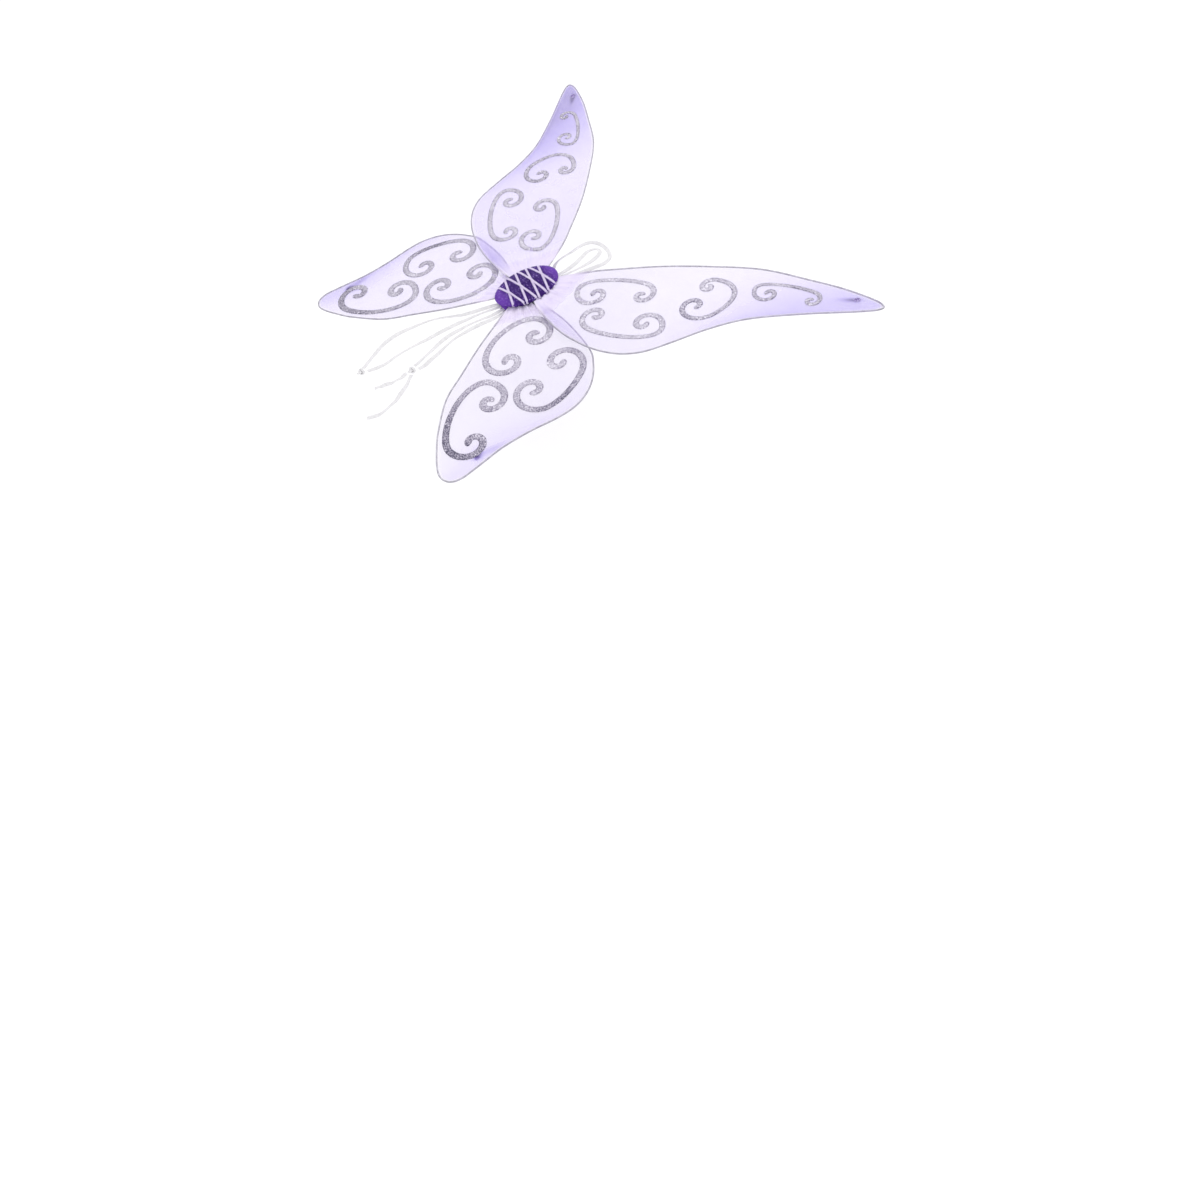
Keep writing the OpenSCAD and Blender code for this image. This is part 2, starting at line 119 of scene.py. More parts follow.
# Routes of the elastic, in metres, as part.scad lays them in millimetres
ROUTES = {
    "strap_top_outer": [
        (-0.0114, 0.0419, 0.0033), (-0.015, 0.046, 0.0033), (-0.025, 0.054, 0.002), (-0.031, 0.067, 0.001),
        (-0.033, 0.084, 0.0006), (-0.036, 0.1, 0.0006), (-0.031, 0.114, 0.0006), (-0.018, 0.121, 0.0006),
        (0, 0.122, 0.0006), (0.014, 0.117, 0.0006), (0.02, 0.106, 0.0006), (0.018, 0.09, 0.0006),
        (0.014, 0.072, 0.001), (0.011, 0.056, 0.002), (0.01, 0.046, 0.0033), (0.01, 0.0402, 0.0033)],
    "strap_top_inner": [
        (-0.0035, 0.0402, 0.0033), (-0.003, 0.048, 0.0033), (-0.004, 0.06, 0.002), (-0.007, 0.074, 0.001),
        (-0.013, 0.088, 0.0006), (-0.018, 0.1, 0.0006), (-0.015, 0.11, 0.0006), (-0.007, 0.114, 0.0006),
        (0, 0.108, 0.0006), (0.003, 0.096, 0.0006), (0.004, 0.076, 0.0006), (0.004, 0.06, 0.002),
        (0.0035, 0.048, 0.0033), (0.0035, 0.0402, 0.0033)],
    "strap_left_outer": [
        (-0.01, -0.0413, 0.0033), (-0.013, -0.048, 0.0033), (-0.0185, -0.06, 0.002), (-0.027, -0.078, 0.0006),
        (-0.038, -0.098, 0.0006), (-0.05, -0.118, 0.0006), (-0.058, -0.14, 0.0006), (-0.062, -0.165, 0.0006),
        (-0.06, -0.188, 0.0006), (-0.053, -0.207, 0.0006), (-0.043, -0.223, 0.001), (-0.034, -0.235, 0.0025)],
    "strap_left_inner": [
        (-0.0038, -0.0411, 0.0033), (-0.006, -0.048, 0.0033), (-0.011, -0.062, 0.002),
        (-0.017, -0.078, 0.0006),
        (-0.02, -0.096, 0.0006), (-0.022, -0.125, 0.0006), (-0.024, -0.155, 0.0006), (-0.024, -0.185, 0.0006),
        (-0.022, -0.208, 0.0006), (-0.023, -0.222, 0.001), (-0.025, -0.233, 0.0025)],
    "strap_right_inner": [
        (0.0035, -0.0402, 0.0033), (0.003, -0.048, 0.0033), (0, -0.062, 0.002), (-0.005, -0.08, 0.0006),
        (-0.008, -0.1, 0.0006), (-0.007, -0.12, 0.0006), (-0.003, -0.14, 0.0006), (0.004, -0.158, 0.0006),
        (0.009, -0.172, 0.001), (0.012, -0.18, 0.0025)],
    "strap_right_outer": [
        (0.01, -0.0402, 0.0033), (0.01, -0.048, 0.0033), (0.008, -0.062, 0.002), (0.004, -0.08, 0.0006),
        (0.002, -0.1, 0.0006), (0.004, -0.118, 0.0006), (0.009, -0.136, 0.0006), (0.015, -0.154, 0.0006),
        (0.02, -0.168, 0.001), (0.0215, -0.178, 0.0025)],
    "strap_tail_short": [
        (0.017, -0.194, 0.0025), (0.018, -0.202, 0.001), (0.018, -0.212, 0.0006), (0.015, -0.224, 0.0006),
        (0.01, -0.238, 0.0006)],
    "strap_tail_long": [
        (0.0245, -0.1905, 0.0025), (0.032, -0.199, 0.001), (0.042, -0.212, 0.0006), (0.051, -0.227, 0.0006),
        (0.057, -0.243, 0.0006), (0.057, -0.256, 0.0006), (0.052, -0.267, 0.0006)],
}
STRAP_W = 5 * MM
STRAP_T = 1 * MM
KNOTS = {"knot_left": (-0.029, -0.2405), "knot_right": (0.018, -0.1865)}
EYELETS = {RIGHT: [31, 14.5, -1, -18, -34.5], LEFT: [32, 16.5, 1.5, -15.5, -33]}
LACE_PAIR = 1.8
LACE_W = 3.0
LACE_T = 0.7


# Curves

def spline(points, steps):
    """Smooth open curve through the points, with that many steps from each to the next."""
    p = np.array(points, float)
    last = len(p) - 1
    out = []
    for i in range(last):
        a, b, c, d = p[max(i - 1, 0)], p[i], p[i + 1], p[min(i + 2, last)]
        for k in range(steps):
            t = k / steps
            out.append(0.5 * (2 * b + (c - a) * t + (2 * a - 5 * b + 4 * c - d) * t * t
                              + (3 * b - a - 3 * c + d) * t ** 3))
    out.append(p[last])
    return np.array(out)


def headings(points):
    ahead = np.vstack([points[1:], points[-1:]])
    behind = np.vstack([points[:1], points[:-1]])
    d = ahead - behind
    return d / np.linalg.norm(d, axis=1)[:, None]


def beside(points, distance):
    """A flat curve moved sideways, to its left when distance is positive."""
    d = headings(points)
    return points + distance * np.c_[-d[:, 1], d[:, 0]]


def length_along(points):
    steps = np.linalg.norm(np.diff(points, axis=0), axis=1)
    return np.concatenate([[0], np.cumsum(steps)])


def resample(points, count):
    """The same curve with count points, evenly spaced along it."""
    along = length_along(points)
    at = np.linspace(0, along[-1], count)
    return np.stack([np.interp(at, along, points[:, k]) for k in range(points.shape[1])], 1)


def smoothstep(low, high, x):
    t = np.clip((np.asarray(x, float) - low) / (high - low), 0, 1)
    return t * t * (3 - 2 * t)


def spiral(centre, radius, start, sense, steps=40):
    """Spiral from its outer end inwards, as part.scad winds it."""
    t = np.arange(steps + 1) / steps
    r = radius * np.exp(-SPIRAL_SHRINK * t)
    a = np.radians(start + sense * SPIRAL_SWEEP * t)
    return np.array(centre) + r[:, None] * np.c_[np.cos(a), np.sin(a)]


def inwards(start, sense):
    """Direction in which a spiral sets off from its outer end."""
    a = math.radians(start)
    fall = SPIRAL_SHRINK / math.radians(SPIRAL_SWEEP)
    d = sense * np.array([-math.sin(a), math.cos(a)]) - fall * np.array([math.cos(a), math.sin(a)])
    return d / np.linalg.norm(d)


def curl(end, last, turn, radius):
    """A short arc that goes on from a spiral's inner end, where the stroke closes on itself."""
    ahead = end - last
    ahead /= np.linalg.norm(ahead)
    side = turn * np.array([-ahead[1], ahead[0]])
    a = np.radians(np.linspace(9, 72, 8))[:, None]
    return end + radius * (np.sin(a) * ahead + (1 - np.cos(a)) * side)


def scroll_line(s):
    """Centre line of a scroll: out of the first spiral, along the bow and into the second."""
    first = spiral(s[0], s[1], s[2], s[3])
    second = spiral(s[4], s[5], s[6], -s[3])
    reach = s[7] * np.linalg.norm(second[0] - first[0])
    leave = first[0] - reach * inwards(s[2], s[3])
    arrive = second[0] - reach * inwards(s[6], -s[3])
    t = np.linspace(0, 1, 26)[1:-1, None]
    bow = ((1 - t) ** 3 * first[0] + 3 * (1 - t) ** 2 * t * leave
           + 3 * (1 - t) * t ** 2 * arrive + t ** 3 * second[0])
    inner = [curl(p[-1], p[-2], turn, 0.9 * p_end)
             for p, turn, p_end in ((first, s[3], s[1] * math.exp(-SPIRAL_SHRINK)),
                                    (second, -s[3], s[5] * math.exp(-SPIRAL_SHRINK)))]
    return np.vstack([inner[0][::-1], first[::-1], bow, second, inner[1]])


# Placing a wing's flat drawing in its sloping plane

def hinge_normal(wing):
    a = math.radians(wing["heading"])
    return np.array([math.cos(a), math.sin(a)])


def placed(flat, wing, side):
    """Row-frame points, in metres, of a wing's flat points (x, y, height over the wire's plane) in mm.
    The wing slopes from its hinge line on, and lies level between the pad and that line."""
    flat = np.asarray(flat, float)
    n = hinge_normal(wing)
    d = np.array([-n[1], n[0]])
    r = flat[:, :2] @ n - HINGE_OFFSET
    s = flat[:, :2] @ d
    h = flat[:, 2] if flat.shape[1] > 2 else np.zeros(len(flat))
    tilt = math.radians(wing["tilt"]) * smoothstep(-4, 4, r)
    out = HINGE_OFFSET + np.where(r > 0, r * np.cos(tilt), r) - h * np.sin(tilt)
    xy = np.outer(s, d) + np.outer(out, n)
    z = wing["z"] + np.clip(r, 0, None) * np.sin(math.radians(wing["tilt"])) + h * np.cos(tilt)
    return np.c_[side * xy[:, 0], xy[:, 1], z] * MM


# Mesh helpers

MERGE_WITHIN = 2e-6


def add_mesh(name, points, faces, material=None, smooth=True):
    mesh = bpy.data.meshes.new(name)
    mesh.from_pydata([tuple(p) for p in points], [], [tuple(int(i) for i in f) for f in faces])
    mesh.validate()
    mesh.polygons.foreach_set("use_smooth", [smooth] * len(mesh.polygons))
    obj = bpy.data.objects.new(name, mesh)
    bpy.context.scene.collection.objects.link(obj)
    if material is not None:
        mesh.materials.append(material)
    return obj


def grid_faces(rows, columns, closed_rows=False, closed_columns=False, start=0):
    faces = []
    for i in range(rows if closed_rows else rows - 1):
        for j in range(columns if closed_columns else columns - 1):
            a = start + i * columns + j
            b = start + i * columns + (j + 1) % columns
            c = start + ((i + 1) % rows) * columns + (j + 1) % columns
            e = start + ((i + 1) % rows) * columns + j
            faces.append((a, b, c, e))
    return faces


def face_outwards(obj):
    """Merges doubled corners and turns every face outwards."""
    bm = bmesh.new()
    bm.from_mesh(obj.data)
    bmesh.ops.remove_doubles(bm, verts=bm.verts, dist=MERGE_WITHIN)
    bmesh.ops.recalc_face_normals(bm, faces=bm.faces)
    bm.to_mesh(obj.data)
    bm.free()


def sweep(name, points, section, material, across=None, scale=None, closed=False):
    """A closed solid with that flat section (across, up) carried along points in space."""
    points = np.asarray(points, float)
    d = headings(points)
    if closed:
        d = np.roll(points, -1, 0) - np.roll(points, 1, 0)
        d /= np.linalg.norm(d, axis=1)[:, None]
    if across is None:
        across = np.cross(d, [0, 0, 1.0])
        across /= np.maximum(np.linalg.norm(across, axis=1), 1e-9)[:, None]
    up = np.cross(across, d)
    section = np.asarray(section, float)
    size = np.ones((len(points), 1)) if scale is None else np.asarray(scale, float).reshape(-1, 1)
    rings = (points[:, None, :] + (size * section[:, 0])[..., None] * across[:, None, :]
             + (size * section[:, 1])[..., None] * up[:, None, :])
    n, m = len(points), len(section)
    faces = grid_faces(n, m, closed_rows=closed, closed_columns=True)
    if not closed:
        faces += [tuple(range(m)), tuple((n - 1) * m + j for j in reversed(range(m)))]
    obj = add_mesh(name, rings.reshape(-1, 3), faces, material)
    uv = obj.data.uv_layers.new(name="UVMap")
    along = length_along(points)
    for loop in obj.data.loops:
        i, j = divmod(loop.vertex_index, m)
        uv.data[loop.index].uv = (along[i], section[j][0])
    return obj


def round_section(radius, sides=10):
    a = np.arange(sides) * TAU / sides
    return np.c_[np.cos(a), np.sin(a)] * radius


def ribbon_section(width, thickness, ribs=0, depth=0.0):
    """Section of a flat ribbon with round edges and, if asked, woven ribs along it."""
    count = 2 * ribs + 5 if ribs else 7
    x = np.linspace(-0.46, 0.46, count)
    top = 0.5 * thickness + (depth * np.cos(np.arange(count) * math.pi) if ribs else 0)
    top = np.broadcast_to(top, x.shape)
    upper = np.c_[x * width, top]
    lower = np.c_[x[::-1] * width, -top[::-1]]
    right = [[0.5 * width, 0.25 * thickness], [0.5 * width, -0.25 * thickness]]
    left = [[-0.5 * width, -0.25 * thickness], [-0.5 * width, 0.25 * thickness]]
    return np.vstack([upper, right, lower, left])


# Materials

class Nodes:
    """Short calls for building one material's node tree."""

    def __init__(self, name):
        self.material = bpy.data.materials.new(name)
        self.material.use_nodes = True
        self.tree = self.material.node_tree
        self.shader = self.tree.nodes["Principled BSDF"]

    def add(self, kind, **values):
        node = self.tree.nodes.new(kind)
        for key, value in values.items():
            if hasattr(node, key):
                setattr(node, key, value)
            else:
                node.inputs[key.replace("_", " ")].default_value = value
        return node

    def link(self, source, target):
        self.tree.links.new(source, target)

    def set(self, **values):
        for key, value in values.items():
            self.shader.inputs[key.replace("_", " ")].default_value = value

    def object_coordinates(self):
        return self.add("ShaderNodeTexCoord").outputs["Object"]

    def ramp(self, source, stops):
        node = self.add("ShaderNodeValToRGB")
        while len(node.color_ramp.elements) < len(stops):
            node.color_ramp.elements.new(0.5)
        for element, (at, colour) in zip(node.color_ramp.elements, stops):
            element.position = at
            element.color = (*colour, 1)
        self.link(source, node.inputs["Fac"])
        return node.outputs["Color"]

    def noise(self, scale, detail=3.0, roughness=0.5):
        node = self.add("ShaderNodeTexNoise", Scale=scale, Detail=detail, Roughness=roughness)
        self.link(self.object_coordinates(), node.inputs["Vector"])
        return node.outputs["Fac"]

    def bump(self, height, strength, distance):
        node = self.add("ShaderNodeBump", Strength=strength, Distance=distance)
        self.link(height, node.inputs["Height"])
        self.link(node.outputs["Normal"], self.shader.inputs["Normal"])

    def math(self, operation, a, b=0.0):
        node = self.add("ShaderNodeMath", operation=operation)
        for socket, value in zip(node.inputs, (a, b)):
            if isinstance(value, (int, float)):
                socket.default_value = value
            else:
                self.link(value, socket)
        return node.outputs[0]


def nylon_material():
    """Sheer knitted nylon. The mesh's depth says how closely the yarn is drawn together, with painted shade
    added on the left wings, and its veil how many layers of pale folds lie over each other at the root."""
    m = Nodes("nylon_sheer")
    depth = m.add("ShaderNodeAttribute", attribute_name="depth").outputs["Fac"]
    cloud = m.noise(45, 4)
    drawn = m.math("ADD", depth, m.math("MULTIPLY", m.math("SUBTRACT", cloud, 0.5), 0.10))
    colour = m.ramp(drawn, [(0.0, (0.62, 0.54, 0.77)), (0.3, (0.58, 0.49, 0.84)),
                            (0.65, (0.36, 0.28, 0.74)), (1.0, (0.12, 0.08, 0.30))])
    veil = m.add("ShaderNodeAttribute", attribute_name="veil").outputs["Fac"]
    pale = m.add("ShaderNodeMix", data_type="RGBA")
    m.link(m.math("MULTIPLY", veil, 0.75), pale.inputs["Factor"])
    m.link(colour, pale.inputs["A"])
    pale.inputs["B"].default_value = (0.90, 0.83, 0.97, 1)
    m.link(pale.outputs["Result"], m.shader.inputs["Base Color"])
    alpha = m.add("ShaderNodeMapRange", clamp=False, From_Min=0.0, From_Max=1.0, To_Min=0.17, To_Max=0.68)
    m.link(drawn, alpha.inputs["Value"])
    covered = m.math("MAXIMUM", alpha.outputs["Result"], m.math("MULTIPLY", veil, 0.86))
    m.link(covered, m.shader.inputs["Alpha"])
    knit = m.add("ShaderNodeTexVoronoi", Scale=2200.0)
    m.link(m.object_coordinates(), knit.inputs["Vector"])
    m.bump(knit.outputs["Distance"], 0.15, 0.0001)
    m.set(Roughness=0.45, Sheen_Weight=0.2, Sheen_Roughness=0.35)
    m.shader.inputs["Sheen Tint"].default_value = (0.9, 0.85, 1, 1)
    return m.material


def glitter_material():
    """Glitter glue: small flat flakes, each tipped its own way, in a grey lilac bed. The mesh's tone sets how
    dark it is, from 0, pale, to 1, dark."""
    m = Nodes("glitter_silver")
    tone = m.add("ShaderNodeAttribute", attribute_name="tone").outputs["Fac"]
    flakes = m.add("ShaderNodeTexVoronoi", Scale=1250.0)
    m.link(m.object_coordinates(), flakes.inputs["Vector"])
    split = m.add("ShaderNodeSeparateColor")
    m.link(flakes.outputs["Color"], split.inputs["Color"])
    bed = m.math("SUBTRACT", m.math("MULTIPLY", m.noise(55, 3), 0.5), m.math("MULTIPLY", tone, 0.62))
    contrast = m.math("MULTIPLY", m.math("SUBTRACT", split.outputs["Red"], 0.5),
                      m.math("ADD", m.math("MULTIPLY", tone, 0.55), 0.25))
    grain = m.math("MULTIPLY", m.math("SUBTRACT", m.noise(560, 1, 0.4), 0.5),
                   m.math("ADD", m.math("MULTIPLY", tone, 1.6), 0.8))
    shade = m.math("ADD", m.math("ADD", bed, contrast), m.math("ADD", grain, 0.50))
    colour = m.ramp(shade, [(0.0, (0.05, 0.045, 0.09)), (0.3, (0.16, 0.14, 0.22)),
                            (0.6, (0.38, 0.35, 0.44)), (0.85, (0.54, 0.51, 0.60)), (1.0, (0.78, 0.75, 0.84))])
    m.link(colour, m.shader.inputs["Base Color"])
    tip = m.add("ShaderNodeVectorMath", operation="SUBTRACT")
    m.link(flakes.outputs["Color"], tip.inputs[0])
    tip.inputs[1].default_value = (0.5, 0.5, 0.5)
    scaled = m.add("ShaderNodeVectorMath", operation="SCALE")
    scaled.inputs["Scale"].default_value = 0.55
    m.link(tip.outputs[0], scaled.inputs[0])
    geometry = m.add("ShaderNodeNewGeometry")
    added = m.add("ShaderNodeVectorMath", operation="ADD")
    m.link(geometry.outputs["Normal"], added.inputs[0])
    m.link(scaled.outputs[0], added.inputs[1])
    normal = m.add("ShaderNodeVectorMath", operation="NORMALIZE")
    m.link(added.outputs[0], normal.inputs[0])
    m.link(normal.outputs[0], m.shader.inputs["Normal"])
    m.set(Metallic=0.35, Roughness=0.34)
    return m.material


def satin_material():
    """Dark purple satin with fine glitter in it: darker in the middle under the lacing, and lighter violet at
    both ends, which is painted light where the cover bulges.
    """
    m = Nodes("satin_purple")
    place = m.add("ShaderNodeSeparateXYZ")
    m.link(m.object_coordinates(), place.inputs[0])
    # Mask towards both ends, where the colour is painted lighter as painted light on the bulging cover.
    ends = m.add("ShaderNodeMapRange", From_Min=0.022, From_Max=0.037, To_Min=0.0, To_Max=1.0)
    m.link(m.math("ABSOLUTE", place.outputs["Y"]), ends.inputs["Value"])
    flakes = m.add("ShaderNodeTexVoronoi", Scale=1500.0)
    m.link(m.object_coordinates(), flakes.inputs["Vector"])
    split = m.add("ShaderNodeSeparateColor")
    m.link(flakes.outputs["Color"], split.inputs["Color"])
    slow = m.math("MULTIPLY", m.math("SUBTRACT", m.noise(80, 3), 0.5), 0.5)
    base = m.ramp(m.math("ADD", m.math("MULTIPLY", ends.outputs["Result"], 0.7), m.math("ADD", slow, 0.15)),
                  [(0.0, (0.026, 0.007, 0.095)), (0.4, (0.047, 0.014, 0.16)), (1.0, (0.137, 0.046, 0.38))])
    # Glitter flakes painted lighter lilac: partly their own colour and partly painted glints.
    flake_glint = m.math("GREATER_THAN", split.outputs["Red"], 0.955)
    mix = m.add("ShaderNodeMix", data_type="RGBA")
    m.link(flake_glint, mix.inputs["Factor"])
    m.link(base, mix.inputs["A"])
    mix.inputs["B"].default_value = (0.40, 0.27, 0.74, 1)
    m.link(mix.outputs["Result"], m.shader.inputs["Base Color"])
    weave = m.math("ADD", flakes.outputs["Distance"], m.noise(400, 2))
    m.bump(weave, 0.3, 0.0003)
    m.set(Roughness=0.5, Specular_IOR_Level=0.06, Sheen_Weight=0.02, Sheen_Roughness=0.4)
    m.shader.inputs["Sheen Tint"].default_value = (0.55, 0.4, 1, 1)
    return m.material


def felt_material():
    m = Nodes("felt_purple")
    fibre = m.noise(700, 6, 0.75)
    colour = m.ramp(fibre, [(0.3, (0.05, 0.02, 0.13)), (0.6, (0.10, 0.045, 0.24)), (0.8, (0.19, 0.10, 0.38))])
    m.link(colour, m.shader.inputs["Base Color"])
    m.bump(fibre, 0.6, 0.0006)
    m.set(Roughness=0.95, Sheen_Weight=0.6, Sheen_Roughness=0.6)
    return m.material


def woven_material(name, low, high, ribs_per_metre, roughness, sheen):
    """Woven ribbon or elastic: fine weft lines across it, read along the ribbon's own length."""
    m = Nodes(name)
    uv = m.add("ShaderNodeTexCoord").outputs["UV"]
    split = m.add("ShaderNodeSeparateXYZ")
    m.link(uv, split.inputs[0])
    along = m.math("SINE", m.math("MULTIPLY", split.outputs["X"], ribs_per_metre * TAU))
    warp = m.math("SINE", m.math("MULTIPLY", split.outputs["Y"], ribs_per_metre * TAU))
    weave = m.math("MULTIPLY", along, warp)
    worn = m.noise(220, 3)
    colour = m.ramp(m.math("ADD", m.math("MULTIPLY", weave, 0.14), worn), [(0.25, low), (0.7, high)])
    m.link(colour, m.shader.inputs["Base Color"])
    m.bump(weave, 0.4, 0.00012)
    m.set(Roughness=roughness, Sheen_Weight=sheen, Sheen_Roughness=0.4)
    return m.material


def wire_material():
    m = Nodes("wire_drawn")
    colour = m.ramp(m.noise(160, 3), [(0.3, (0.30, 0.29, 0.33)), (0.7, (0.52, 0.51, 0.56))])
    m.link(colour, m.shader.inputs["Base Color"])
    m.bump(m.noise(900, 2), 0.2, 0.0001)
    m.set(Metallic=0.85, Roughness=0.38)
    return m.material


def thread_material(name, low, high):
    m = Nodes(name)
    strand = m.noise(1500, 2)
    m.link(m.ramp(strand, [(0.35, low), (0.7, high)]), m.shader.inputs["Base Color"])
    m.bump(strand, 0.4, 0.0002)
    m.set(Roughness=0.7, Sheen_Weight=0.3)
    return m.material


def floor_material():
    """A white light table, which takes most of the shadow away."""
    m = Nodes("floor_white")
    colour = m.ramp(m.noise(6, 2), [(0.0, (0.50, 0.50, 0.50)), (1.0, (0.53, 0.53, 0.53))])
    m.link(colour, m.shader.inputs["Base Color"])
    m.set(Roughness=0.9, Specular_IOR_Level=0.0, Emission_Strength=0.52)
    m.shader.inputs["Emission Color"].default_value = (1, 1, 1, 1)
    return m.material


MATERIALS = {
    "nylon": nylon_material(),
    "glitter": glitter_material(),
    "satin": satin_material(),
    "felt": felt_material(),
    "elastic": woven_material("elastic_white", (0.68, 0.67, 0.69), (0.80, 0.79, 0.81), 900, 0.75, 0.3),
    "lace": woven_material("ribbon_lilac", (0.50, 0.41, 0.64), (0.66, 0.58, 0.78), 1500, 0.4, 0.2),
    "webbing": woven_material("webbing_purple", (0.05, 0.02, 0.13), (0.11, 0.05, 0.26), 600, 0.8, 0.3),
    "wire": wire_material(),
    "thread": thread_material("thread_purple", (0.06, 0.03, 0.16), (0.16, 0.09, 0.36)),
    "thread_mid": thread_material("thread_violet", (0.16, 0.10, 0.34), (0.30, 0.22, 0.52)),
    "thread_pale": thread_material("thread_lilac", (0.38, 0.31, 0.58), (0.58, 0.50, 0.80)),
}


# Straps

def strap_frames(path, twist):
    """Across directions of a ribbon that rolls a little about its own line."""
    d = headings(path)
    flat = np.cross(d, [0, 0, 1.0])
    flat /= np.linalg.norm(flat, axis=1)[:, None]
    up = np.cross(flat, d)
    return flat * np.cos(twist)[:, None] + up * np.sin(twist)[:, None]


def add_strap(name, phase):
    path = spline(ROUTES[name], 8)
    share = length_along(path) / length_along(path)[-1]
    ends = np.clip(np.minimum(share, 1 - share) * 8, 0, 1)
    twist = np.radians(24) * ends * np.sin(TAU * (1.6 * share + phase))
    path[:, 2] += 0.5 * STRAP_W * np.abs(np.sin(twist)) + 0.0001
    obj = sweep(name + "_elastic", path, ribbon_section(STRAP_W, STRAP_T, 5, 0.07 * MM),
                MATERIALS["elastic"], strap_frames(path, twist))
    face_outwards(obj)
    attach(obj, "pad")
    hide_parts(name)


def add_knot(name):
    """An overhand knot drawn tight in the flat elastic."""
    t = np.arange(120) * TAU / 120
    x, y = KNOTS[name]
    path = np.c_[x + 1.45 * MM * (np.sin(t) + 2 * np.sin(2 * t)),
                 y + 1.45 * MM * (np.cos(t) - 2 * np.cos(2 * t)),
                 3.4 * MM - 1.5 * MM * np.sin(3 * t)]
    roll = 0.5 * np.sin(3 * t)
    obj = sweep(name + "_elastic", path, ribbon_section(3.0 * MM, 1.5 * MM, 3, 0.07 * MM),
                MATERIALS["elastic"], strap_frames(path, roll), closed=True)
    face_outwards(obj)
    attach(obj, "pad")
    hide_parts(name)
    return obj


def add_straps():
    left = add_knot("knot_left")
    right = add_knot("knot_right")
    add_strap("strap_top_outer", 0.0)
    add_strap("strap_top_inner", 0.4)
    add_strap("strap_left_outer", 0.1)
    add_strap("strap_left_inner", 0.6)
    add_strap("strap_right_inner", 0.3)
    add_strap("strap_right_outer", 0.8)
    add_strap("strap_tail_short", 0.2)
    add_strap("strap_tail_long", 0.7)


add_camera()
add_straps()


# Wings

NYLON_PROUD = 0.12
NYLON_REST = 0.45
EDGE_STEPS = np.array([0, 0.35, 0.9, 1.5, 2.3, 3.6])
EDGE_HEIGHTS = np.array([0, 0.8, 1.12, 1.0, 0.72, 0.5])
ACROSS = 60
ROWS = 150
ROOT_ROWS = 10


def wing_sides(wing):
    """The leading and trailing borders of the nylon, each from inside the pad to the tip."""
    steps = 10
    edge = beside(spline(wing["outline"], steps), WIRE_R + NYLON_PROUD)
    apex = wing["apex"] * steps
    lead = np.vstack([wing["stems"][0], edge[:apex + 1]])
    trail = np.vstack([wing["stems"][1][::-1], edge[apex:][::-1]])
    return lead, trail


def nylon_rows(wing):
    """Matching points down both borders: a few inside the pad's rim, then even steps to the tip."""
    lead, trail = wing_sides(wing)
    root = ROOT_ROWS
    first = [resample(border[:3], root + 1)[:-1] for border in (lead, trail)]
    rest = []
    for border in (lead[2:], trail[2:]):
        along = length_along(border)
        share = np.linspace(0, 1, ROWS - root)
        share = 1 - (1 - share) ** 1.15
        rest.append(np.stack([np.interp(share * along[-1], along, border[:, k]) for k in (0, 1)], 1))
    return np.vstack([first[0], rest[0]]), np.vstack([first[1], rest[1]]), root


def folds(wing, u, v, phase):
    """Height of the nylon's soft folds, in mm: they fan out from the root and in to the tip gather."""
    fan = np.sin(TAU * (6.5 * v + 0.8 * np.sin(3 * v + phase)) + phase)
    fine = np.sin(TAU * (15 * v + 0.5 * np.sin(5 * v + 2 * phase)))
    root = 1.1 * np.exp(-((u / 0.16) ** 2)) * (fan + 0.4 * fine)
    near_tip = 0.22 * np.exp(-(((u - 0.88) / 0.06) ** 2)) * np.sin(TAU * 4 * v + phase)
    body = 0.30 * np.sin(TAU * (1.3 * v + 0.6 * u) + phase) * np.sin(math.pi * np.clip(u, 0, 1))
    held = np.clip(4 * v * (1 - v), 0, 1) ** 0.7
    return held * (root + near_tip + body)


# Depth of each wing's stretched nylon, and how much deeper the upper wings get towards their tips
# The left wings' higher values here are painted shade.
SHEER_AND_SIDE_SHADE = {("upper", "right"): 0.13, ("upper", "left"): 0.32, ("lower", "right"): 0.04, ("lower", "left"): 0.23}
TIP_DEPTH_AND_SIDE_SHADE = {"right": 0.40, "left": 0.44}


